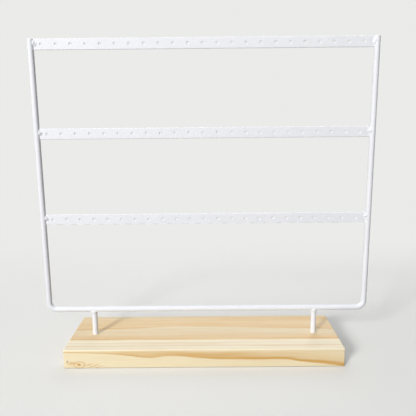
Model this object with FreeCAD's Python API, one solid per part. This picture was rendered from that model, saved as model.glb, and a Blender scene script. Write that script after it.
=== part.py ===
import FreeCAD, Part

import os
from collections import namedtuple

# Earring display stand: a U-shaped rod frame carries three perforated bars
# and stands on two short posts, screwed to a wooden base board.
# Millimetres. +X is the viewer's right, -Y the front, +Z up. The origin is
# under the middle of the frame's width, on the surface that the board rests on.

# Base board
BOARD_LENGTH = 254.0
BOARD_DEPTH = 73.6
BOARD_THICKNESS = 17.6
BOARD_EASE = 1.0            # every edge is broken this much
BOARD_SHIFT_X = -2.3        # the frame isn't quite over the middle of the board

# Rod frame
FRAME_WIDTH = 300.0         # between the centrelines of the two uprights
FRAME_PLANE_Y = -3.3        # the frame stands a little in front of mid-depth
ROD_DIAMETER = 5.2
ROD_END_CHAMFER = 0.5
BEND_INNER_RADIUS = 4.1

# Heights, each one a clear gap between two neighbours
FOOT_GAP = 22.9             # board to the rod's underside
LOWER_WINDOW = 80.3         # rod to the bottom bar
MIDDLE_WINDOW = 68.6
UPPER_WINDOW = 67.2

# Perforated bars
BAR_HEIGHT = 9.6
BAR_THICKNESS = 1.2
HOLE_DIAMETER = 2.2
HOLE_PITCH = 12.7
HOLE_END_MARGIN = 7.0       # least distance from the upright to a hole's centre
HOLE_ROW_SHIFT_X = -1.2     # the rows are punched slightly off the middle

# Posts, and the countersunk screws that hold them from below
POST_DIAMETER = 5.2
POST_INSET = 21.9           # from the board's end to a post's axis
SCREW_DIAMETER = 2.9
SCREW_CLEARANCE = 0.3       # radial, in the board
THREAD_CLEARANCE = 0.05     # radial, in the post's tapped hole
SCREW_GRIP = 8.0            # length of screw inside the post
TAP_RUNOUT = 2.0            # tapped hole past the screw's tip
SCREW_HEAD_DIAMETER = 6.0
SCREW_HEAD_HEIGHT = 1.8
HEAD_RECESS = 0.6           # the head lies this far inside the board's underside
DRIVE_WIDTH = 0.8           # cross slot
DRIVE_LENGTH = 3.2
DRIVE_DEPTH = 1.0

# Welds. The beads are laid by hand at the front of each joint, so each has
# its own size. lap is how far a bead runs in from the upright over the bar,
# and lift how far its middle sits above the bar's.
Bead = namedtuple("Bead", "width height lap lift")
BEADS = {
    "top_left": Bead(width=4.0, height=5.9, lap=1.5, lift=0.6),
    "top_right": Bead(width=4.0, height=6.4, lap=0.8, lift=0.5),
    "middle_left": Bead(width=3.8, height=4.2, lap=1.9, lift=1.0),
    "middle_right": Bead(width=3.8, height=4.4, lap=1.4, lift=0.7),
    "bottom_left": Bead(width=4.8, height=5.0, lap=3.0, lift=1.1),
    "bottom_right": Bead(width=5.0, height=5.8, lap=1.5, lift=0.0),
}
BEAD_PROUD = 0.2             # how far a bead stands out in front of the rod
COLLAR_WIDTH = 0.8           # how far the weld round a post's top stands out
COLLAR_LEG = 1.8             # how far it runs down the post from the rod

# Worked out from the sizes above
V = FreeCAD.Vector
UP = V(0, 0, 1)
BACK = V(0, 1, 0)
SIDES = {"left": -1, "right": 1}
ROD_RADIUS = ROD_DIAMETER / 2
POST_RADIUS = POST_DIAMETER / 2
UPRIGHT_X = FRAME_WIDTH / 2
BAR_FRONT_Y = FRAME_PLANE_Y - BAR_THICKNESS / 2
ROD_Z = BOARD_THICKNESS + FOOT_GAP + ROD_RADIUS
BOTTOM_BAR_Z = ROD_Z + ROD_RADIUS + LOWER_WINDOW + BAR_HEIGHT / 2
MIDDLE_BAR_Z = BOTTOM_BAR_Z + MIDDLE_WINDOW + BAR_HEIGHT
TOP_BAR_Z = MIDDLE_BAR_Z + UPPER_WINDOW + BAR_HEIGHT
BAR_Z = {"bottom": BOTTOM_BAR_Z, "middle": MIDDLE_BAR_Z, "top": TOP_BAR_Z}
ROD_TOP_Z = TOP_BAR_Z + BAR_HEIGHT / 2
HEAD_TOP_Z = HEAD_RECESS + SCREW_HEAD_HEIGHT
SCREW_TOP_Z = BOARD_THICKNESS + SCREW_GRIP


def post_x(side):
    """Where a post stands: the posts are even about the board, not the frame."""
    return BOARD_SHIFT_X + SIDES[side] * (BOARD_LENGTH / 2 - POST_INSET)


def cylinder(radius, low_z, high_z, x):
    """A round piece on an upright axis in the frame's plane."""
    return Part.makeCylinder(radius, high_z - low_z, V(x, FRAME_PLANE_Y, low_z), UP)


def rod_blank():
    """The U-bent rod with square-cut ends, which the other pieces are fitted to."""
    bend = BEND_INNER_RADIUS + ROD_RADIUS
    run = FRAME_WIDTH - 2 * bend
    start = V(bend - UPRIGHT_X, FRAME_PLANE_Y, ROD_Z)
    lengths = [Part.makeCylinder(ROD_RADIUS, run, start, V(1, 0, 0))]
    for side in SIDES.values():
        foot = V(side * UPRIGHT_X, FRAME_PLANE_Y, ROD_Z + bend)
        section = Part.Face(Part.Wire([Part.Circle(foot, UP, ROD_RADIUS).toShape()]))
        centre = foot - V(side * bend, 0, 0)
        lengths.append(section.revolve(centre, BACK, side * 90))
        lengths.append(cylinder(ROD_RADIUS, foot.z, ROD_TOP_Z, foot.x))
    return lengths[0].multiFuse(lengths[1:]).removeSplitter()


def frame_rod(blank):
    """The bent rod with its two cut ends chamfered."""
    ends = [
        edge for edge in blank.Edges
        if len(edge.Vertexes) == 1 and abs(edge.BoundBox.ZMin - ROD_TOP_Z) < 1e-6
    ]
    return blank.makeChamfer(ROD_END_CHAMFER, ends)


def hole_positions():
    """X of each hole in a bar's row, as many as the bar has room for."""
    room = FRAME_WIDTH - ROD_DIAMETER - 2 * HOLE_END_MARGIN
    gaps = int(room / HOLE_PITCH)
    first = HOLE_ROW_SHIFT_X - gaps * HOLE_PITCH / 2
    return [first + i * HOLE_PITCH for i in range(gaps + 1)]


def bar(middle_z, rod):
    """A flat strip coped to both uprights, with its row of earring holes."""
    corner = V(-UPRIGHT_X, BAR_FRONT_Y, middle_z - BAR_HEIGHT / 2)
    strip = Part.makeBox(FRAME_WIDTH, BAR_THICKNESS, BAR_HEIGHT, corner)
    holes = [
        Part.makeCylinder(HOLE_DIAMETER / 2, BAR_THICKNESS, V(x, BAR_FRONT_Y, middle_z), BACK)
        for x in hole_positions()
    ]
    return strip.cut(rod).cut(Part.makeCompound(holes))


def bead(size, side, middle_z, rod, strip):
    """A convex weld bead up the front corner between an upright and a bar's end."""
    radius = size.width / 2
    x = SIDES[side] * (UPRIGHT_X - ROD_RADIUS - size.lap + radius)
    y = FRAME_PLANE_Y - ROD_RADIUS - BEAD_PROUD + radius
    low_z = middle_z + size.lift - size.height / 2
    lump = Part.makeCylinder(radius, size.height, V(x, y, low_z), UP)
    behind = Part.makeBox(
        size.width, size.width, size.height, V(x - radius, BAR_FRONT_Y, low_z))
    return lump.cut(behind).cut(rod).cut(strip)


def post(side, rod):
    """A short upright from the board's top to the rod's underside."""
    x = post_x(side)
    body = cylinder(POST_RADIUS, BOARD_THICKNESS, ROD_Z, x)
    tapped = cylinder(
        SCREW_DIAMETER / 2 + THREAD_CLEARANCE,
        BOARD_THICKNESS, SCREW_TOP_Z + TAP_RUNOUT, x)
    return body.cut(tapped).cut(rod)


def collar(side, rod, upright):
    """The flared ring of weld round a post's top, under the rod."""
    low_z = ROD_Z - ROD_RADIUS - COLLAR_LEG
    flare = Part.makeCone(
        POST_RADIUS, POST_RADIUS + COLLAR_WIDTH, COLLAR_LEG,
        V(post_x(side), FRAME_PLANE_Y, low_z), UP)
    return flare.cut(upright)


def screw_cone(side, low_z):
    """The taper of a screw's head from low_z up to the shank, or of the seat cut for it."""
    slope = (SCREW_HEAD_DIAMETER - SCREW_DIAMETER) / 2 / SCREW_HEAD_HEIGHT
    height = HEAD_TOP_Z - low_z
    wide = SCREW_DIAMETER / 2 + slope * height
    return Part.makeCone(
        wide, SCREW_DIAMETER / 2, height, V(post_x(side), FRAME_PLANE_Y, low_z), UP)


def base_board():
    """The wooden board with its edges broken and its two screw holes."""
    corner = V(BOARD_SHIFT_X - BOARD_LENGTH / 2, -BOARD_DEPTH / 2, 0)
    board = Part.makeBox(BOARD_LENGTH, BOARD_DEPTH, BOARD_THICKNESS, corner)
    board = board.makeChamfer(BOARD_EASE, board.Edges)
    hole = SCREW_DIAMETER / 2 + SCREW_CLEARANCE
    for side in SIDES:
        board = board.cut(screw_cone(side, 0))
        board = board.cut(cylinder(hole, 0, BOARD_THICKNESS, post_x(side)))
    return board


def screw(side):
    """A countersunk screw, driven from below through the board into the post."""
    x = post_x(side)
    shank = cylinder(SCREW_DIAMETER / 2, HEAD_TOP_Z, SCREW_TOP_Z, x)
    slots = [
        Part.makeBox(
            length, width, DRIVE_DEPTH,
            V(x - length / 2, FRAME_PLANE_Y - width / 2, HEAD_RECESS))
        for length, width in ((DRIVE_LENGTH, DRIVE_WIDTH), (DRIVE_WIDTH, DRIVE_LENGTH))
    ]
    return screw_cone(side, HEAD_RECESS).fuse(shank).cut(Part.makeCompound(slots))


def build():
    """Every piece by its name."""
    blank = rod_blank()
    pieces = {"base_board": base_board(), "frame_rod": frame_rod(blank)}
    for tier, middle_z in BAR_Z.items():
        strip = bar(middle_z, blank)
        pieces[f"bar_{tier}"] = strip
        for side in SIDES:
            place = f"{tier}_{side}"
            pieces[f"weld_{place}"] = bead(BEADS[place], side, middle_z, blank, strip)
    for side in SIDES:
        upright = post(side, blank)
        pieces[f"post_{side}"] = upright
        pieces[f"weld_post_{side}"] = collar(side, blank, upright)
        pieces[f"screw_{side}"] = screw(side)
    return pieces


os.makedirs("parts", exist_ok=True)
for name, shape in build().items():
    shape.exportStep(f"parts/{name}.step")
    size = shape.BoundBox
    print(
        f"{name:18s} {len(shape.Solids)} solid, {shape.Volume:10.1f} mm3,"
        f" x {size.XMin:.2f} to {size.XMax:.2f}, y {size.YMin:.2f} to {size.YMax:.2f},"
        f" z {size.ZMin:.2f} to {size.ZMax:.2f}")
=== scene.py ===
import math
from collections import namedtuple

import bmesh
import bpy
from mathutils import Matrix, Vector, noise


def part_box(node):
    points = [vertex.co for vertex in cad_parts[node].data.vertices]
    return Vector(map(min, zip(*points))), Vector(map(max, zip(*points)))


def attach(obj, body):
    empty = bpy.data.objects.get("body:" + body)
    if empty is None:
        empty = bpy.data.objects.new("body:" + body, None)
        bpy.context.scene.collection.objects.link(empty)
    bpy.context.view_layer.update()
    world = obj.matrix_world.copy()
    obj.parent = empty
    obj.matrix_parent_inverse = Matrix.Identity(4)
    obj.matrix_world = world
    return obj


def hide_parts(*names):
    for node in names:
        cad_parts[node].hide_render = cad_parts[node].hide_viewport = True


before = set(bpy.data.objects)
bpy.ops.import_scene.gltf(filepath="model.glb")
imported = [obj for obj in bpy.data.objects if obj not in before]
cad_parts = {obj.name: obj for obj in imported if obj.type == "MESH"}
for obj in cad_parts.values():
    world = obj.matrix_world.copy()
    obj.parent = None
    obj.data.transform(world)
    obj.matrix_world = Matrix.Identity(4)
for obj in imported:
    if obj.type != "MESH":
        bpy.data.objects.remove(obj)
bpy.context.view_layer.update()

# Earring display stand, dressed over its construction model. Lengths below are
# in millimetres and become metres as each mesh is made. +X is the viewer's
# right, -Y the front, +Z up, and z 0 is the surface that the board rests on.
MM = 0.001

# Camera, fitted to the photograph's 416 by 416 frame
IMAGE_PIXELS = 416
FOCAL_PIXELS = 465.6
SENSOR_WIDTH = 36.0
CAMERA_AT = (3.5, -425.0, 218.1)
CAMERA_YAW = -0.15           # degrees, positive turns it to the right
CAMERA_PITCH = -10.42
CAMERA_ROLL = -0.52

# Stage
FLOOR_FRONT_Y = -3200
FLOOR_HALF_WIDTH = 3200
BACKDROP_Y = 900
BACKDROP_TOP_Z = 2400
COVE_RADIUS = 500
COVE_STEPS = 16
FLOOR_PAPER = (0.78, 0.78, 0.765, 1)
FLOOR_BOUNCE = (0.34, 0.33, 0.32, 1)     # what the floor throws back on the stand
BACKDROP_GLOW = (0.83, 0.83, 0.815, 1)
GLOW_FROM_Y = 60             # behind here the floor fades into the backdrop's tone
GLOW_FULL_Y = 420
GLOW_FROM_RADIUS = 320       # and so does all of it this far from the stand
GLOW_FULL_RADIUS = 950
GLOW_FROM_Z = 2              # and so does the cove, up to the backdrop
GLOW_FULL_Z = 350
PAPER_GRAIN = (3, 3, 3)
PAPER_GRAIN_LIFT = 1.03      # how much paler the paper's grain is than the paper

# Light
SKY_COLOUR = (0.93, 0.96, 1.0, 1)
SKY_STRENGTH = 0.14
WARM_LIGHT = (1.0, 0.985, 0.955)
COOL_LIGHT = (0.97, 0.985, 1.0)
Lamp = namedtuple("Lamp", "name at target size watts colour")
LAMPS = (
    Lamp("window", (-1320, -2130, 1140), (0, 0, 130), (540, 600), 64, WARM_LIGHT),
    Lamp("overhead", (-100, -150, 1700), (0, 0, 0), (1400, 1400), 11, COOL_LIGHT),
    # a soft fill, so that the back isn't left dark
    Lamp("behind", (60, 830, 560), (0, 0, 150), (700, 900), 4.2, COOL_LIGHT),
)

# Frame rod
ROD_SIDES = 48
BEND_INNER_RADIUS = 4.1      # as in the solids
BEND_STEPS = 14
ROD_END_ROUNDING = 0.7
ROUNDING_STEPS = 5

# Bars, with the holes where the solids have them
HOLE_COUNT = 23
HOLE_PITCH = 12.7
HOLE_ROW_SHIFT_X = -1.2
HOLE_DIAMETER = 2.2
HOLE_RIM = 0.52              # rounding of the punched and coated rim of a hole
BAR_EDGE = 0.56              # rounding of a bar's long edges
BAR_EDGE_STEPS = 4           # and the steps of a hole's rim
BAR_END_IN_ROD = 0.6         # how far a bar's end reaches into the upright
BAR_SWAY = 0.1               # how far a bar bends forward or back
BAR_SWAYS_PER_MM = 0.02
BAR_LIFT = 0.05              # and how far up or down
BAR_LIFTS_PER_MM = 0.035
BAR_LIFT_SEED = 9
BAR_SEED = 31.7
HOLE_SIDES = 24              # a multiple of 8, so that the cell's corners fall on a vertex
HOLE_REACH = 1.2             # a hole's edges are within so many radii of the row

# Posts and the bores for the screws below them, as in the solids
POST_BORE_RADIUS = 1.5
POST_BORE_TOP = 27.6
POST_BORE_TIP = 0.9          # the drill's point above it, which the solids leave out
POST_FOOT_EDGE = 0.3
POST_FOOT_CORNER = 0.09      # how far the middle of its rounding is inside the corner
POST_REACH = 1.2             # how far a post's top reaches into the rod
SEAT_RADIUS = 3.52           # countersink in the board's underside
SEAT_DEPTH = 2.06
SCREW_HOLE_RADIUS = 1.75

# Welds. Each bead at a bar's end is one lump or two in the corner between the
# upright and the bar. out is how far a lump's middle lies towards the upright
# from the edge of the rod, lift how far it is above the bar's middle, and sink
# how far its front stays behind the rod's front.
Lump = namedtuple("Lump", "out lift width height sink")
BEADS = {
    "top_left": (Lump(0.3, 0.9, 3.6, 4.4, 0.7), Lump(-0.8, 0.2, 3.6, 4.2, 1.3)),
    "top_right": (Lump(0.9, 1.0, 3.2, 4.6, 0.3), Lump(0.0, -1.1, 2.6, 2.8, 0.7)),
    "middle_left": (Lump(0.1, 1.0, 3.2, 4.0, 0.6), Lump(-0.9, 0.8, 3.6, 3.8, 1.25)),
    "middle_right": (Lump(0.3, 0.8, 3.2, 3.4, 0.1), Lump(1.1, -1.0, 1.9, 1.8, 0.35)),
    "bottom_left": (Lump(0.0, 1.3, 3.2, 3.6, 0.6), Lump(-1.1, 0.7, 3.6, 3.6, 1.25)),
    "bottom_right": (Lump(0.0, 1.5, 2.8, 2.8, 0.15), Lump(1.5, -1.5, 2.5, 2.5, 0.1)),
}
BEAD_DEPTH = 1.35            # from a lump's middle to its front
BEAD_BLEND = 0.4             # fillet between a bead and the pieces that it joins
COLLAR_RADIUS = 2.85         # the weld round a post's top
COLLAR_HEIGHT = 1.7
COLLAR_BLEND = 1.3
COLLAR_IN_ROD = 0.4          # how far above the rod's lowest line its middle is
WELD_SINK = 0.04             # a weld's feathered rim lies this far under the coat
WELD_LUMPS = 0.12            # how uneven its surface is
WELD_LUMPS_PER_MM = 0.55
BEAD_TIER_SEED = 3.1
BEAD_SIDE_SEED = 1.7
COLLAR_SEED = 7.3
LUMP_AROUND = 56
LUMP_RINGS = 32
LUMP_HALVINGS = 18           # steps of the search for a lump's surface
BEAD_SEARCH = 0.8            # how far past a lump's own size the search goes
COLLAR_SEARCH = 1.6

# Board
BOARD_EDGE = 1.0
BOARD_EDGE_STEPS = 4

# Mesh limits
SHARP_ANGLE = math.radians(40)           # edges sharper than this can be rounded
SAME_PLACE = 1e-3
SAME_VERTEX = 1e-4

# Where things are, from the frame
SIDES = {"left": -1, "right": 1}
TIERS = ("bottom", "middle", "top")


def box_mm(node):
    """A node's lowest and highest corner in millimetres."""
    low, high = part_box(node)
    return low / MM, high / MM


ROD_LOW, ROD_HIGH = box_mm("frame_rod")
ROD_RADIUS = (ROD_HIGH.y - ROD_LOW.y) / 2
FRAME_Y = (ROD_HIGH.y + ROD_LOW.y) / 2
UPRIGHT_X = ROD_HIGH.x - ROD_RADIUS
ROD_Z = ROD_LOW.z + ROD_RADIUS
BOARD_LOW, BOARD_HIGH = box_mm("base_board")


def post_x(side):
    low, high = box_mm(f"post_{side}")
    return (low.x + high.x) / 2


def bar_box(tier):
    return box_mm(f"bar_{tier}")


# Meshes
def finish_piece(name, bm, material, node):
    """Turns a bmesh in millimetres into a piece that rides on the part, for a node."""
    bmesh.ops.recalc_face_normals(bm, faces=bm.faces)
    bmesh.ops.scale(bm, vec=(MM, MM, MM), verts=bm.verts)
    mesh = bpy.data.meshes.new(name)
    for face in bm.faces:
        face.smooth = True
    bm.to_mesh(mesh)
    bm.free()
    piece = bpy.data.objects.new(name, mesh)
    bpy.context.scene.collection.objects.link(piece)
    mesh.materials.append(material)
    piece.modifiers.new("flat_faces_stay_flat", "WEIGHTED_NORMAL").keep_sharp = True
    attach(piece, "root")
    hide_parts(node)


def bridge(bm, ring_a, ring_b):
    """Quads between two closed rings of as many vertices."""
    count = len(ring_a)
    for i in range(count):
        j = (i + 1) % count
        bm.faces.new((ring_a[i], ring_a[j], ring_b[j], ring_b[i]))


def rod_stations():
    """Centre, inward direction and radius of each section along the bent rod."""
    bend = BEND_INNER_RADIUS + ROD_RADIUS
    inward = Vector((1, 0))
    stations = []
    for step in range(ROUNDING_STEPS + 1):
        turn = math.pi / 2 * step / ROUNDING_STEPS
        radius = ROD_RADIUS - ROD_END_ROUNDING * (1 - math.sin(turn))
        z = ROD_HIGH.z - ROD_END_ROUNDING * (1 - math.cos(turn))
        stations.append((Vector((-UPRIGHT_X, z)), inward, radius))
    centre = Vector((bend - UPRIGHT_X, ROD_Z + bend))
    for step in range(BEND_STEPS + 1):
        turn = math.pi / 2 * step / BEND_STEPS
        across = Vector((math.cos(turn), math.sin(turn)))
        stations.append((centre - across * bend, across, ROD_RADIUS))
    mirrored = [
        (Vector((-at.x, at.y)), Vector((-across.x, across.y)), radius)
        for at, across, radius in reversed(stations)
    ]
    return stations + mirrored


def make_frame_rod(material):
    bm = bmesh.new()
    rings = []
    for at, across, radius in rod_stations():
        ring = []
        for i in range(ROD_SIDES):
            turn = 2 * math.pi * i / ROD_SIDES
            off = across * (radius * math.cos(turn))
            y = FRAME_Y + radius * math.sin(turn)
            ring.append(bm.verts.new((at.x + off.x, y, at.y + off.y)))
        rings.append(ring)
    for a, b in zip(rings, rings[1:]):
        bridge(bm, a, b)
    bm.faces.new(rings[0])
    bm.faces.new(rings[-1])
    finish_piece("powder_coated_frame", bm, material, "frame_rod")


def cell_loop(low_u, high_u, low_v, high_v):
    """Points round a rectangle, evenly spaced along each side, from the lower right corner."""
    per_side = HOLE_SIDES // 4
    corners = [(high_u, low_v), (high_u, high_v), (low_u, high_v), (low_u, low_v)]
    points = []
    for k in range(4):
        start = Vector(corners[k])
        end = Vector(corners[(k + 1) % 4])
        points += [start.lerp(end, i / per_side) for i in range(per_side)]
    return points


def hole_loop(u, v, radius):
    """Points round a hole, in step with cell_loop."""
    points = []
    for i in range(HOLE_SIDES):
        turn = 2 * math.pi * i / HOLE_SIDES - math.pi / 4
        points.append(Vector((u + radius * math.cos(turn), v + radius * math.sin(turn))))
    return points


def plate(low, high, holes, row, profile, place):
    """A plate with a row of round holes, one per cell of its length.

    low and high are its corners in its own plane, holes and row the places of
    the holes' centres along and across it. place turns a point in that plane
    and a share of the thickness into a vertex. profile lists the radius of a
    hole at each share of the thickness, from 0 to 1.
    """
    bm = bmesh.new()
    middles = [(a + b) / 2 for a, b in zip(holes, holes[1:])]
    limits = [low.x, *middles, high.x]
    for u, low_u, high_u in zip(holes, limits, limits[1:]):
        outer = cell_loop(low_u, high_u, low.y, high.y)
        rings = {}
        for share in (0.0, 1.0):
            rings[share] = [bm.verts.new(place(p, share)) for p in outer]
        walls = [
            [bm.verts.new(place(p, share)) for p in hole_loop(u, row, radius)]
            for radius, share in profile
        ]
        bridge(bm, rings[0.0], walls[0])
        for a, b in zip(walls, walls[1:]):
            bridge(bm, a, b)
        bridge(bm, walls[-1], rings[1.0])
        for i in range(HOLE_SIDES):
            j = (i + 1) % HOLE_SIDES
            a, b = outer[i], outer[j]
            # The comparison is exact, and rounding leaves one long side of the
            # bottom bar without its faces and its rounded edges.
            on_rim = (
                (a.y == b.y and a.y in (low.y, high.y))
                or (a.x == b.x and a.x in (limits[0], limits[-1]))
            )
            if on_rim:
                bm.faces.new((rings[0.0][i], rings[0.0][j], rings[1.0][j], rings[1.0][i]))
    bmesh.ops.remove_doubles(bm, verts=bm.verts, dist=SAME_VERTEX)
    bmesh.ops.recalc_face_normals(bm, faces=bm.faces)
    return bm


def round_edges(bm, width, segments, chosen):
    """Rounds the sharp edges that chosen picks."""
    edges = [
        e for e in bm.edges
        if len(e.link_faces) == 2 and e.calc_face_angle() > SHARP_ANGLE and chosen(e)
    ]
    bmesh.ops.bevel(
        bm, geom=edges, offset=width, segments=segments, profile=0.5,
        affect="EDGES", clamp_overlap=True)


def hole_xs():
    first = HOLE_ROW_SHIFT_X - HOLE_PITCH * (HOLE_COUNT - 1) / 2
    return [first + i * HOLE_PITCH for i in range(HOLE_COUNT)]


def make_bar(tier, material):
    """A coated bar with rounded hole rims and edges, and a slight wave in the strip."""
    box_low, box_high = bar_box(tier)
    end = UPRIGHT_X - ROD_RADIUS + BAR_END_IN_ROD
    low = Vector((-end, box_low.z))
    high = Vector((end, box_high.z))
    middle_z = (low.y + high.y) / 2
    radius = HOLE_DIAMETER / 2

    def place(point, share):
        return (point.x, box_low.y + (box_high.y - box_low.y) * share, point.y)

    def on_hole(edge):
        beside_row = all(abs(v.co.z - middle_z) < radius * HOLE_REACH for v in edge.verts)
        return beside_row and edge.verts[0].co.x not in (-end, end)

    def on_long_edge(edge):
        return all(
            min(abs(v.co.z - low.y), abs(v.co.z - high.y)) < SAME_PLACE for v in edge.verts)

    bm = plate(low, high, hole_xs(), middle_z, [(radius, 0.0), (radius, 1.0)], place)
    round_edges(bm, HOLE_RIM, BAR_EDGE_STEPS, on_hole)
    round_edges(bm, BAR_EDGE, BAR_EDGE_STEPS, on_long_edge)
    seed = TIERS.index(tier) * BAR_SEED
    for v in bm.verts:
        sway = noise.noise(Vector((v.co.x * BAR_SWAYS_PER_MM, seed, 0)))
        lift = noise.noise(Vector((v.co.x * BAR_LIFTS_PER_MM, seed, BAR_LIFT_SEED)))
        v.co.y += BAR_SWAY * sway
        v.co.z += BAR_LIFT * lift
    finish_piece(f"coated_bar_{tier}", bm, material, f"bar_{tier}")


def smooth_min(a, b, soft):
    """The smaller of two distances, with a round fillet where they are close."""
    h = max(soft - abs(a - b), 0.0) / soft
    return min(a, b) - h * h * soft / 4


def upright_distance(p, side):
    """Distance from p to the surface of an upright."""
    return math.hypot(p.x - SIDES[side] * UPRIGHT_X, p.y - FRAME_Y) - ROD_RADIUS


def box_distance(p, low, high):
    """Distance from p to the surface of a box."""
    centre = (low + high) / 2
    half = (high - low) / 2
    off = p - centre
    outside = Vector([max(abs(off[i]) - half[i], 0) for i in range(3)]).length
    inside = min(max(abs(off[i]) - half[i] for i in range(3)), 0)
    return outside + inside


def lump_distance(p, centre, radii, seed):
    """About the distance from p to an uneven ellipsoid."""
    off = p - centre
    scaled = Vector([off[i] / radii[i] for i in range(3)])
    size = scaled.length
    uneven = WELD_LUMPS * noise.noise(p * WELD_LUMPS_PER_MM + Vector((seed, seed, seed)))
    return (size - 1) * min(radii) - uneven


def grow_lump(name, centre, reach, distance, material, node):
    """A closed skin found along rays from centre, where distance is nought."""
    bm = bmesh.new()
    poles = []
    rings = []
    for i in range(LUMP_RINGS + 1):
        tilt = math.pi * i / LUMP_RINGS
        ring = []
        for k in range(LUMP_AROUND):
            turn = 2 * math.pi * k / LUMP_AROUND
            way = Vector((
                math.sin(tilt) * math.cos(turn), math.cos(tilt), math.sin(tilt) * math.sin(turn)))
            near, far = 0.0, reach
            for _ in range(LUMP_HALVINGS):
                half = (near + far) / 2
                if distance(centre + way * half) < 0:
                    near = half
                else:
                    far = half
            ring.append(centre + way * near)
            if i in (0, LUMP_RINGS):
                break
        if i in (0, LUMP_RINGS):
            poles.append(bm.verts.new(ring[0]))
        else:
            rings.append([bm.verts.new(p) for p in ring])
    for a, b in zip(rings, rings[1:]):
        bridge(bm, a, b)
    for pole, ring in zip(poles, (rings[0], rings[-1])):
        for k in range(LUMP_AROUND):
            bm.faces.new((pole, ring[k], ring[(k + 1) % LUMP_AROUND]))
    finish_piece(name, bm, material, node)


def make_bead(tier, side, material):
    """The coated weld bead in the front corner between an upright and a bar's end."""
    bar_low, bar_high = bar_box(tier)
    outward = SIDES[side]
    seed = BEAD_TIER_SEED * TIERS.index(tier) + BEAD_SIDE_SEED * outward
    lumps = []
    for lump in BEADS[f"{tier}_{side}"]:
        centre = Vector((
            outward * (UPRIGHT_X - ROD_RADIUS + lump.out),
            FRAME_Y - ROD_RADIUS + lump.sink + BEAD_DEPTH,
            (bar_low.z + bar_high.z) / 2 + lump.lift))
        lumps.append((centre, Vector((lump.width / 2, BEAD_DEPTH, lump.height / 2))))

    def distance(p):
        value = min(upright_distance(p, side), box_distance(p, bar_low, bar_high)) + WELD_SINK
        for centre, radii in lumps:
            value = smooth_min(value, lump_distance(p, centre, radii, seed), BEAD_BLEND)
        return value

    start = sum((centre for centre, _ in lumps), Vector()) / len(lumps)
    size = max((centre - start).length + max(radii) for centre, radii in lumps)
    grow_lump(
        f"coated_bead_{tier}_{side}", start, size + BEAD_SEARCH, distance, material,
        f"weld_{tier}_{side}")


def make_collar(side, material):
    """The coated weld where a post's top meets the rod."""
    x = post_x(side)
    centre = Vector((x, FRAME_Y, ROD_Z - ROD_RADIUS + COLLAR_IN_ROD))
    radii = Vector((COLLAR_RADIUS, COLLAR_RADIUS, COLLAR_HEIGHT))
    seed = COLLAR_SEED * SIDES[side]

    def distance(p):
        rod = math.hypot(p.y - FRAME_Y, p.z - ROD_Z) - ROD_RADIUS
        post = math.hypot(p.x - x, p.y - FRAME_Y) - ROD_RADIUS
        members = min(rod, post) + WELD_SINK
        return smooth_min(members, lump_distance(p, centre, radii, seed), COLLAR_BLEND)

    grow_lump(
        f"coated_collar_{side}", centre, COLLAR_RADIUS + COLLAR_SEARCH, distance, material,
        f"weld_post_{side}")


def make_post(side, material):
    """A coated post with its tapped foot, standing on the board."""
    x = post_x(side)
    low_z = BOARD_HIGH.z
    high_z = ROD_Z - ROD_RADIUS + POST_REACH
    outline = [
        (0.0, POST_BORE_TOP + POST_BORE_TIP),
        (POST_BORE_RADIUS, POST_BORE_TOP),
        (POST_BORE_RADIUS, low_z),
        (ROD_RADIUS - POST_FOOT_EDGE, low_z),
        (ROD_RADIUS - POST_FOOT_CORNER, low_z + POST_FOOT_CORNER),
        (ROD_RADIUS, low_z + POST_FOOT_EDGE),
        (ROD_RADIUS, high_z),
        (0.0, high_z),
    ]
    bm = bmesh.new()
    rings = []
    for radius, z in outline:
        if radius == 0.0:
            rings.append([bm.verts.new((x, FRAME_Y, z))])
            continue
        rings.append([
            bm.verts.new((
                x + radius * math.cos(2 * math.pi * k / ROD_SIDES),
                FRAME_Y + radius * math.sin(2 * math.pi * k / ROD_SIDES), z))
            for k in range(ROD_SIDES)
        ])
    for a, b in zip(rings, rings[1:]):
        if len(a) == len(b):
            bridge(bm, a, b)
            continue
        tip, ring = (a[0], b) if len(a) == 1 else (b[0], a)
        for k in range(ROD_SIDES):
            bm.faces.new((tip, ring[k], ring[(k + 1) % ROD_SIDES]))
    finish_piece(f"coated_post_{side}", bm, material, f"post_{side}")


def make_board(material):
    """The board, with a countersunk hole under each post and every edge eased."""
    low = Vector((BOARD_LOW.x, BOARD_LOW.y))
    high = Vector((BOARD_HIGH.x, BOARD_HIGH.y))
    seat = SEAT_DEPTH / BOARD_HIGH.z
    profile = [(SEAT_RADIUS, 0.0), (SCREW_HOLE_RADIUS, seat), (SCREW_HOLE_RADIUS, 1.0)]

    def place(point, share):
        return (point.x, point.y, BOARD_HIGH.z * share)

    def on_outline(edge):
        for v in edge.verts:
            on_end = min(abs(v.co.x - low.x), abs(v.co.x - high.x)) < SAME_PLACE
            on_side = min(abs(v.co.y - low.y), abs(v.co.y - high.y)) < SAME_PLACE
            if not (on_end or on_side):
                return False
        return True

    bm = plate(low, high, [post_x("left"), post_x("right")], FRAME_Y, profile, place)
    round_edges(bm, BOARD_EDGE, BOARD_EDGE_STEPS, on_outline)
    finish_piece("pine_board", bm, material, "base_board")


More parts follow.
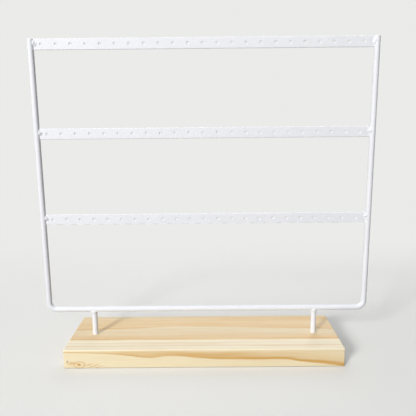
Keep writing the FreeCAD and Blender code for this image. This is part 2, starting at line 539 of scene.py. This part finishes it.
# Materials
class Nodes:
    """Short forms for building a material's node tree."""

    def __init__(self, name):
        self.material = bpy.data.materials.new(name)
        self.material.use_nodes = True
        self.tree = self.material.node_tree
        self.shader = self.tree.nodes["Principled BSDF"]
        self.place = self.tree.nodes.new("ShaderNodeTexCoord").outputs["Object"]

    def new(self, kind, **settings):
        node = self.tree.nodes.new(kind)
        for key, value in settings.items():
            setattr(node, key, value)
        return node

    def put(self, socket, value):
        """Links a socket, or sets its value."""
        if isinstance(value, bpy.types.NodeSocket):
            self.tree.links.new(value, socket)
        else:
            socket.default_value = value

    def math(self, operation, *values, clamp=False):
        node = self.new("ShaderNodeMath", operation=operation, use_clamp=clamp)
        for socket, value in zip(node.inputs, values):
            self.put(socket, value)
        return node.outputs[0]

    def add(self, a, b):
        return self.math("ADD", a, b)

    def subtract(self, a, b):
        return self.math("SUBTRACT", a, b)

    def multiply(self, a, b):
        return self.math("MULTIPLY", a, b)

    def scaled(self, factors):
        """Object coordinates in millimetres, each axis times its factor."""
        node = self.new("ShaderNodeVectorMath", operation="MULTIPLY")
        self.put(node.inputs[0], self.place)
        self.put(node.inputs[1], [f / MM for f in factors])
        return node.outputs[0]

    def split(self, vector):
        node = self.new("ShaderNodeSeparateXYZ")
        self.put(node.inputs[0], vector)
        return node.outputs

    def join(self, x, y, z):
        node = self.new("ShaderNodeCombineXYZ")
        for socket, value in zip(node.inputs, (x, y, z)):
            self.put(socket, value)
        return node.outputs[0]

    def grain(self, sizes, detail=2.0, roughness=0.5):
        """Noise whose features are so many millimetres wide along x, y and z."""
        return self.noise(self.scaled([1 / size for size in sizes]), detail, roughness)

    def noise(self, vector, detail=2.0, roughness=0.5):
        """Smooth noise from 0 to 1, with features about one unit of vector wide."""
        node = self.new("ShaderNodeTexNoise")
        self.put(node.inputs["Vector"], vector)
        self.put(node.inputs["Scale"], 1.0)
        self.put(node.inputs["Detail"], detail)
        self.put(node.inputs["Roughness"], roughness)
        return node.outputs["Fac"]

    def spread(self, value, low, high, to_low=0.0, to_high=1.0, smooth=False):
        """Maps value from one range to another, held at both ends."""
        node = self.new("ShaderNodeMapRange", clamp=True)
        node.interpolation_type = "SMOOTHSTEP" if smooth else "LINEAR"
        for key, number in zip(
                ("Value", "From Min", "From Max", "To Min", "To Max"),
                (value, low, high, to_low, to_high)):
            self.put(node.inputs[key], number)
        return node.outputs[0]

    def ramp(self, value, stops):
        node = self.new("ShaderNodeValToRGB")
        self.put(node.inputs[0], value)
        elements = node.color_ramp.elements
        while len(elements) > 1:
            elements.remove(elements[-1])
        for i, (at, shade) in enumerate(stops):
            element = elements[0] if i == 0 else elements.new(at)
            element.position = at
            element.color = (shade, shade, shade, 1)
        return node.outputs[0]

    def curve(self, value, points):
        """A smooth curve through points, each from 0 to 1."""
        node = self.new("ShaderNodeFloatCurve")
        self.put(node.inputs["Value"], value)
        line = node.mapping.curves[0].points
        line[0].location = points[0]
        line[1].location = points[-1]
        for at in points[1:-1]:
            line.new(*at)
        node.mapping.update()
        return node.outputs[0]

    def mix(self, share, a, b):
        """Mixes two colours."""
        node = self.new("ShaderNodeMix", data_type="RGBA")
        self.put(node.inputs[0], share)
        self.put(node.inputs[6], a)
        self.put(node.inputs[7], b)
        return node.outputs[2]

    def bump(self, height, depth, normal=None):
        """A bump of a depth in millimetres where height runs from 0 to 1."""
        node = self.new("ShaderNodeBump")
        self.put(node.inputs["Distance"], depth * MM)
        self.put(node.inputs["Height"], height)
        if normal is not None:
            self.put(node.inputs["Normal"], normal)
        return node.outputs[0]

    def shade(self, **values):
        for key, value in values.items():
            self.put(self.shader.inputs[key.replace("_", " ")], value)
        return self.material


# Nearly all of a noise lies between these two
NOISE_SPAN = (0.3, 0.7)

# Powder coat: the widths of its cloudy tone, its flow and its orange peel
COAT_CLOUD = (26, 26, 26)
COAT_FLOW = (5, 5, 5)
COAT_PEEL = (0.8, 0.8, 0.8)
COAT_CLOUD_SHARE = 0.65
COAT_TONE_SPAN = (0.32, 0.68)
COAT_ROUGHNESS = (0.50, 0.60)
COAT_GLOSS = 0.22
FLOW_DEPTH = 0.03
PEEL_DEPTH = 0.006
DIM_WHITE = (0.80, 0.815, 0.875, 1)
CLEAR_WHITE = (0.84, 0.855, 0.905, 1)


def powder_coat():
    """White powder coat: satin, with fine orange peel and a slightly uneven tone."""
    m = Nodes("white_powder_coat")
    cloud = m.grain(COAT_CLOUD)
    flow = m.grain(COAT_FLOW, detail=3.0)
    peel = m.grain(COAT_PEEL)
    tone = m.add(m.multiply(cloud, COAT_CLOUD_SHARE), m.multiply(flow, 1 - COAT_CLOUD_SHARE))
    colour = m.mix(m.spread(tone, *COAT_TONE_SPAN), DIM_WHITE, CLEAR_WHITE)
    grit = m.add(m.multiply(flow, 0.5), m.multiply(peel, 0.5))
    rough = m.spread(grit, *NOISE_SPAN, *COAT_ROUGHNESS)
    normal = m.bump(peel, PEEL_DEPTH, m.bump(flow, FLOW_DEPTH))
    return m.shade(
        Base_Color=colour, Roughness=rough, Normal=normal, Specular_IOR_Level=COAT_GLOSS)


# Growth rings. at is where a ring's dark line meets the board's top, in
# millimetres back from the front edge, and below nought it comes out on the
# front face. dark is the line's strength, swell the tone half way up to it, and
# fall how far past it the wood is pale again.
Ring = namedtuple("Ring", "at dark swell fall")
RINGS = (
    Ring(at=92.0, dark=0.34, swell=0.16, fall=4.0),
    Ring(at=45.5, dark=0.66, swell=0.27, fall=3.4),
    Ring(at=21.0, dark=0.84, swell=0.22, fall=1.9),
    Ring(at=13.4, dark=0.33, swell=0.05, fall=1.6),
    Ring(at=7.4, dark=0.44, swell=0.10, fall=1.6),
    Ring(at=1.6, dark=0.34, swell=0.06, fall=1.2),
    Ring(at=-5.0, dark=1.00, swell=0.60, fall=0.35),
)
RING_START = 96.0
RING_END = -34.0
RING_FOOT_SHARE = 0.1        # where a ring turns steeply dark, as a share of its width
RING_FOOT_MOST = 1.6
PALE = 0.03
FRONT_LINE = -5.0
# How far down the front face that line runs, along the board from its left end
FRONT_LINE_DROP = (
    (0, 2.2), (20, 2.6), (42, 3.6), (60, 5.4), (76, 7.2), (98, 5.8), (123, 7.8),
    (160, 9.3), (196, 9.4), (215, 11.6), (254, 15.7))
# How strong the broad tan band above that line is, along the board
FRONT_BAND = (
    (0, 0.40), (34, 0.50), (60, 0.86), (110, 1.0), (150, 0.95), (190, 0.58), (254, 0.42))
# How far back the rearmost dark line strays from straight, and where that sets in
REAR_LINE_DRIFT = ((0, -4.0), (60, 1.0), (110, 4.5), (165, 1.5), (210, -0.5), (254, -5.0))
DRIFT_RANGE = 12.0
DRIFT_FROM = 24
DRIFT_FULL = 46
# A darker patch behind the right half's rearmost line
REAR_PATCH_ALONG = (118, 168)
REAR_PATCH_BACK = (57, 68)
REAR_PATCH_END = (70.5, 68.5)
REAR_PATCH_DARK = 0.34
FLATTEN = 0.03               # how fast the rings lean over towards the back
WAVER_ALONG = 38             # the rings' slow waver: its length, its width
WAVER_BACK = 22
WAVER_SEED = 3.0
WAVER_GROWS_TO = (20, 2.6)   # and how far back it is how wide
RING_TONE_ALONG = 70         # how slowly a ring's strength changes along and across
RING_TONE_ACROSS = 9
RING_TONE_SEED = 7.0
RING_TONE_SPAN = (0.78, 1.10)
BAND_FROM_LINE = (0.25, 1.3)  # the tan band starts so far above the front's line
BAND_TO_TOP = (1.2, 0.2)     # and ends here, round the board's upper edge
CREAM_FROM = (21.5, 16.5)    # the depths at which one wood turns into the next
SAPWOOD_FROM = (0.5, -1.5)
FIBRE = (34, 0.9, 0.9)
BROAD_FIBRE = (90, 4, 4)
FIBRE_TONE = (-0.15, 0.19)   # how much lighter or darker the fibres make the wood
FIBRE_RELIEF = 0.05
WOOD_ROUGHNESS = (0.44, 0.58)
PALE_WOOD = (0.82, 0.70, 0.49, 1)
CREAM_WOOD = (0.90, 0.825, 0.645, 1)    # between the fine lines at the top's front
SAPWOOD = (0.92, 0.81, 0.56, 1)         # below the front face's line
LATE_WOOD = (0.65, 0.35, 0.065, 1)
# Painted highlight: a paler wood tone laid along the board's edges, where their rounding catches
# the light
PAINTED_HIGHLIGHT_WOOD = (0.93, 0.85, 0.66, 1)
PIN_WOOD = (0.09, 0.035, 0.02, 1)
ARRIS = 0.85                 # how far the painted highlight along the board's edges reaches
ARRIS_FULL = 0.4             # the share of that reach where it is at its full strength
PAINTED_HIGHLIGHT_SHARE = 0.25
# The knot low on the front face: places along the board and down from its top,
# and how far each part reaches
Spot = namedtuple("Spot", "along down reach_along reach_down")
PIN_KNOT = Spot(3.6, 10.9, 1.3, 1.1)
PIN_FLAME = Spot(8.6, 12.5, 9.5, 2.6)
SWIRL_KNOT = Spot(14.2, 14.0, 9.5, 6.0)
SWIRL_STREAKS = Spot(27.0, 15.2, 13.0, 4.4)
SWIRL_TURNS = 15.0           # radians of light and dark from the swirl's middle to its reach
SWIRL_PALE = 0.08            # dark share between the swirl's rings
STREAK_WAVE = (0.9, 2.2)     # radians of light and dark per millimetre along and down
STREAK_DARK = 0.75
FLAME_DARK = 0.6
PIN_DARK = 0.92
KNOT_JITTER = (2.2, 2.2, 2.2)
KNOT_STRAY = (2.4, 2.0)      # how far the knot's lines stray along and down
KNOT_DEPTH = 9               # how far into the board the knot's tone goes
PIN_DEPTH = 2.5


def board_coordinates(m):
    """Millimetres from the board's left end, back from its front and down from its top."""
    x, y, z = m.split(m.scaled((1, 1, 1)))
    return (
        m.subtract(x, BOARD_LOW.x), m.subtract(y, BOARD_LOW.y), m.subtract(BOARD_HIGH.z, z))


def along_curve(m, along, points):
    """A smooth curve along the board through (millimetres, value from 0 to 1) points."""
    length = BOARD_HIGH.x - BOARD_LOW.x
    share = m.math("DIVIDE", along, length)
    return m.curve(share, [(at / length, value) for at, value in points])


def ring_depth(m, along, back, down):
    """Which growth ring a point is in, as a place on the board's top, in millimetres."""
    height = BOARD_HIGH.z
    drop = m.multiply(along_curve(m, along, [(a, d / height) for a, d in FRONT_LINE_DROP]), height)
    lean = m.add(m.math("DIVIDE", -FRONT_LINE, drop), m.multiply(back, FLATTEN))
    drift = along_curve(m, along, [(a, 0.5 + d / DRIFT_RANGE) for a, d in REAR_LINE_DRIFT])
    drift = m.multiply(m.subtract(drift, 0.5), DRIFT_RANGE)
    drift = m.multiply(drift, m.spread(back, DRIFT_FROM, DRIFT_FULL, smooth=True))
    waver = m.noise(m.join(
        m.multiply(along, 1 / WAVER_ALONG), m.multiply(back, 1 / WAVER_BACK), WAVER_SEED))
    grown_at, grown_to = WAVER_GROWS_TO
    waver = m.multiply(m.subtract(waver, 0.5), m.spread(back, 0, grown_at, 1.0, grown_to))
    flat = m.add(m.subtract(back, drift), waver)
    return m.subtract(flat, m.multiply(down, lean))


def ring_stops():
    """Dark share along the rings: pale after each line, darkening slowly up to the next."""
    def at(depth):
        return (RING_START - depth) / (RING_START - RING_END)

    stops = [(0.0, PALE)]
    inner = RING_START
    for ring in RINGS:
        width = inner - ring.at
        foot = min(width * RING_FOOT_SHARE, RING_FOOT_MOST)
        stops.append((at(ring.at + width * 0.5), ring.swell))
        stops.append((at(ring.at + foot), (ring.swell + ring.dark) / 2))
        stops.append((at(ring.at), ring.dark))
        stops.append((at(ring.at - ring.fall), PALE))
        inner = ring.at - ring.fall
    return stops


def ring_tone(m, along, back, depth):
    """Dark share of the growth rings, with the front's tan band and the rear patch."""
    late = m.ramp(m.spread(depth, RING_START, RING_END), ring_stops())
    strength = m.noise(m.join(
        m.multiply(along, 1 / RING_TONE_ALONG), m.multiply(depth, 1 / RING_TONE_ACROSS),
        RING_TONE_SEED))
    late = m.multiply(late, m.spread(strength, *NOISE_SPAN, *RING_TONE_SPAN))
    off_line = m.spread(depth, *[FRONT_LINE + gap for gap in BAND_FROM_LINE], smooth=True)
    in_band = m.multiply(off_line, m.spread(depth, *BAND_TO_TOP))
    weaker = m.subtract(along_curve(m, along, FRONT_BAND), 1.0)
    late = m.multiply(late, m.add(1.0, m.multiply(in_band, weaker)))
    patch = m.multiply(
        m.spread(along, *REAR_PATCH_ALONG, smooth=True), m.spread(back, *REAR_PATCH_BACK))
    patch = m.multiply(patch, m.spread(back, *REAR_PATCH_END))
    return m.add(late, m.multiply(patch, REAR_PATCH_DARK))


def near(m, along, down, spot):
    """1 at a spot on the front face, falling to 0 at its reach, and the distance in reaches."""
    a = m.multiply(m.subtract(along, spot.along), 1 / spot.reach_along)
    b = m.multiply(m.subtract(down, spot.down), 1 / spot.reach_down)
    gap = m.math("SQRT", m.add(m.multiply(a, a), m.multiply(b, b)))
    return m.spread(gap, 1, 0, smooth=True), gap


def knot(m, along, back, down):
    """Dark shares of the small knot low on the front face, and of the pin in it."""
    jitter = m.subtract(m.grain(KNOT_JITTER), 0.5)
    a = m.add(along, m.multiply(jitter, KNOT_STRAY[0]))
    d = m.add(down, m.multiply(jitter, KNOT_STRAY[1]))
    pin, _ = near(m, along, down, PIN_KNOT)
    flame, _ = near(m, a, d, PIN_FLAME)
    swirl, gap = near(m, a, d, SWIRL_KNOT)
    ring = m.math("SINE", m.multiply(gap, SWIRL_TURNS))
    swirl = m.multiply(swirl, m.spread(ring, -0.5, 1.0, SWIRL_PALE, 1.0))
    streaks, _ = near(m, a, d, SWIRL_STREAKS)
    phase = m.add(m.multiply(a, STREAK_WAVE[0]), m.multiply(d, STREAK_WAVE[1]))
    streaks = m.multiply(streaks, m.spread(m.math("SINE", phase), -0.2, 1.0, 0.0, STREAK_DARK))
    warm = m.math("MAXIMUM", m.math("MAXIMUM", swirl, streaks), m.multiply(flame, FLAME_DARK))
    fade = m.spread(back, KNOT_DEPTH, 0, smooth=True)
    return m.multiply(warm, fade), m.multiply(pin, m.spread(back, PIN_DEPTH, 1.0))


def arris(m, along, back, down):
    """1 on the board's edges, where a highlight is painted, 0 away from them."""
    length, depth, height = BOARD_HIGH - BOARD_LOW

    def edge_gap(value, size):
        return m.math("MINIMUM", value, m.subtract(size, value))

    a = edge_gap(along, length)
    b = edge_gap(back, depth)
    c = edge_gap(down, height)
    nearer = m.math("MINIMUM", a, b)
    farther = m.math("MAXIMUM", a, b)
    second = m.math("MAXIMUM", nearer, m.math("MINIMUM", farther, c))
    return m.spread(second, ARRIS, ARRIS * ARRIS_FULL, smooth=True)


def pine():
    """Sanded pine: growth rings, fibre streaks, end grain, a small knot and a highlight painted
    along the edges.
    """
    m = Nodes("sanded_pine")
    along, back, down = board_coordinates(m)
    depth = ring_depth(m, along, back, down)
    fibre = m.grain(FIBRE, detail=4.0, roughness=0.6)
    broad = m.grain(BROAD_FIBRE, detail=3.0)
    streaks = m.add(m.multiply(fibre, 0.5), m.multiply(broad, 0.5))
    warm, pin = knot(m, along, back, down)
    late = m.math("MAXIMUM", ring_tone(m, along, back, depth), warm)
    amount = m.math("ADD", late, m.spread(streaks, *NOISE_SPAN, *FIBRE_TONE), clamp=True)
    outer = m.mix(m.spread(depth, *SAPWOOD_FROM), CREAM_WOOD, SAPWOOD)
    early = m.mix(m.spread(depth, *CREAM_FROM), PALE_WOOD, outer)
    colour = m.mix(amount, early, LATE_WOOD)
    colour = m.mix(m.multiply(pin, PIN_DARK), colour, PIN_WOOD)
    # Painted highlight: the wood turns paler along the edges, standing for light caught on their
    # rounding
    painted_highlight = m.multiply(arris(m, along, back, down), PAINTED_HIGHLIGHT_SHARE)
    colour = m.mix(painted_highlight, colour, PAINTED_HIGHLIGHT_WOOD)
    relief = m.add(m.multiply(amount, 0.6), m.multiply(fibre, 0.4))
    rough = m.spread(fibre, *NOISE_SPAN, *WOOD_ROUGHNESS)
    return m.shade(Base_Color=colour, Roughness=rough, Normal=m.bump(relief, FIBRE_RELIEF))


# Zinc on the screws
ZINC_CLOUD = (0.9, 0.9, 0.9)
ZINC_SCRATCH = (2.5, 0.08, 0.3)
ZINC_SCRATCH_DEPTH = 0.01
ZINC_ROUGHNESS = (0.22, 0.42)
DULL_ZINC = (0.60, 0.61, 0.60, 1)
BRIGHT_ZINC = (0.78, 0.78, 0.74, 1)


def zinc_plate():
    """Bright zinc on the screws, with a cloudy, slightly brushed surface."""
    m = Nodes("zinc_plated_steel")
    cloud = m.grain(ZINC_CLOUD, detail=3.0)
    scratch = m.grain(ZINC_SCRATCH)
    colour = m.mix(m.spread(cloud, *NOISE_SPAN), DULL_ZINC, BRIGHT_ZINC)
    grit = m.add(m.multiply(cloud, 0.6), m.multiply(scratch, 0.4))
    rough = m.spread(grit, *NOISE_SPAN, *ZINC_ROUGHNESS)
    normal = m.bump(scratch, ZINC_SCRATCH_DEPTH)
    return m.shade(Base_Color=colour, Metallic=1.0, Roughness=rough, Normal=normal)


def seen_directly(tree):
    """1 for rays that show the stage: from the camera, or by way of gloss or glass."""
    path = tree.nodes.new("ShaderNodeLightPath")
    value = path.outputs["Is Camera Ray"]
    for name in ("Is Glossy Ray", "Is Transmission Ray"):
        node = tree.nodes.new("ShaderNodeMath")
        node.operation = "MAXIMUM"
        tree.links.new(value, node.inputs[0])
        tree.links.new(path.outputs[name], node.inputs[1])
        value = node.outputs[0]
    return value


def stage_paint():
    """Plain pale paper, which throws little light back, and glows evenly up the backdrop."""
    m = Nodes("stage_paper")
    seen = seen_directly(m.tree)
    lifted = [channel * PAPER_GRAIN_LIFT for channel in FLOOR_PAPER[:3]]
    paper = m.mix(m.grain(PAPER_GRAIN), FLOOR_PAPER, [*lifted, 1])
    m.shade(Base_Color=m.mix(seen, FLOOR_BOUNCE, paper), Roughness=0.9, Specular_IOR_Level=0.1)
    glow = m.new("ShaderNodeEmission")
    m.put(glow.inputs["Color"], BACKDROP_GLOW)
    x, y, height = m.split(m.scaled((1, 1, 1)))
    radius = m.math("SQRT", m.add(m.multiply(x, x), m.multiply(y, y)))
    behind = m.spread(y, GLOW_FROM_Y, GLOW_FULL_Y, smooth=True)
    around = m.spread(radius, GLOW_FROM_RADIUS, GLOW_FULL_RADIUS, smooth=True)
    up = m.spread(height, GLOW_FROM_Z, GLOW_FULL_Z, smooth=True)
    share = m.multiply(seen, m.math("MAXIMUM", m.math("MAXIMUM", behind, around), up))
    blend = m.new("ShaderNodeMixShader")
    m.put(blend.inputs[0], share)
    m.tree.links.new(m.shader.outputs[0], blend.inputs[1])
    m.tree.links.new(glow.outputs[0], blend.inputs[2])
    output = m.tree.nodes["Material Output"]
    m.tree.links.new(blend.outputs[0], output.inputs["Surface"])
    return m.material


# Stage, light and camera
def make_stage():
    """A floor that curves up into a backdrop."""
    centre_y = BACKDROP_Y - COVE_RADIUS
    line = [(FLOOR_FRONT_Y, 0.0)]
    for step in range(COVE_STEPS + 1):
        turn = math.pi / 2 * step / COVE_STEPS
        line.append((
            centre_y + COVE_RADIUS * math.sin(turn), COVE_RADIUS * (1 - math.cos(turn))))
    line.append((BACKDROP_Y, BACKDROP_TOP_Z))
    bm = bmesh.new()
    rows = [
        [bm.verts.new((x * MM, y * MM, z * MM)) for x in (-FLOOR_HALF_WIDTH, FLOOR_HALF_WIDTH)]
        for y, z in line
    ]
    for a, b in zip(rows, rows[1:]):
        bm.faces.new((a[0], a[1], b[1], b[0])).smooth = True
    mesh = bpy.data.meshes.new("stage_sweep")
    bm.to_mesh(mesh)
    bm.free()
    mesh.materials.append(stage_paint())
    sweep = bpy.data.objects.new("stage_sweep", mesh)
    bpy.context.scene.collection.objects.link(sweep)


def make_lamp(lamp):
    data = bpy.data.lights.new(lamp.name, "AREA")
    data.shape = "RECTANGLE"
    data.size = lamp.size[0] * MM
    data.size_y = lamp.size[1] * MM
    data.energy = lamp.watts
    data.color = lamp.colour
    holder = bpy.data.objects.new(lamp.name, data)
    holder.visible_camera = False
    holder.location = Vector(lamp.at) * MM
    way = Vector(lamp.target) - Vector(lamp.at)
    holder.rotation_euler = way.to_track_quat("-Z", "Y").to_euler()
    bpy.context.scene.collection.objects.link(holder)


def make_light():
    """A dim sky, the backdrop's tone where the sky shows, and the lamps."""
    world = bpy.data.worlds.new("studio")
    bpy.context.scene.world = world
    world.use_nodes = True
    tree = world.node_tree
    sky = tree.nodes["Background"]
    sky.inputs["Color"].default_value = SKY_COLOUR
    sky.inputs["Strength"].default_value = SKY_STRENGTH
    plain = tree.nodes.new("ShaderNodeBackground")
    plain.inputs["Color"].default_value = BACKDROP_GLOW
    blend = tree.nodes.new("ShaderNodeMixShader")
    tree.links.new(seen_directly(tree), blend.inputs[0])
    tree.links.new(sky.outputs[0], blend.inputs[1])
    tree.links.new(plain.outputs[0], blend.inputs[2])
    tree.links.new(blend.outputs[0], tree.nodes["World Output"].inputs["Surface"])
    for lamp in LAMPS:
        make_lamp(lamp)


def make_camera():
    yaw, pitch, roll = (math.radians(a) for a in (CAMERA_YAW, CAMERA_PITCH, CAMERA_ROLL))
    forward = Vector((
        math.sin(yaw) * math.cos(pitch), math.cos(yaw) * math.cos(pitch), math.sin(pitch)))
    level = Vector((math.cos(yaw), -math.sin(yaw), 0))
    upright = level.cross(forward)
    right = level * math.cos(roll) + upright * math.sin(roll)
    up = upright * math.cos(roll) - level * math.sin(roll)
    data = bpy.data.cameras.new("camera")
    data.sensor_width = SENSOR_WIDTH
    data.lens = FOCAL_PIXELS / IMAGE_PIXELS * SENSOR_WIDTH
    camera = bpy.data.objects.new("camera", data)
    bpy.context.scene.collection.objects.link(camera)
    turned = Matrix((right, up, -forward)).transposed().to_4x4()
    camera.matrix_world = Matrix.Translation(Vector(CAMERA_AT) * MM) @ turned
    bpy.context.scene.camera = camera


def dress_screws(material):
    """The screws keep their solids and get a plated finish."""
    for side in SIDES:
        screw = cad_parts[f"screw_{side}"]
        for slot in screw.material_slots:
            slot.material = material


coat = powder_coat()
wood = pine()
make_frame_rod(coat)
for tier in TIERS:
    make_bar(tier, coat)
    for side in SIDES:
        make_bead(tier, side, coat)
for side in SIDES:
    make_post(side, coat)
    make_collar(side, coat)
make_board(wood)
dress_screws(zinc_plate())
make_stage()
make_light()
make_camera()
bpy.context.scene.view_settings.view_transform = "Standard"
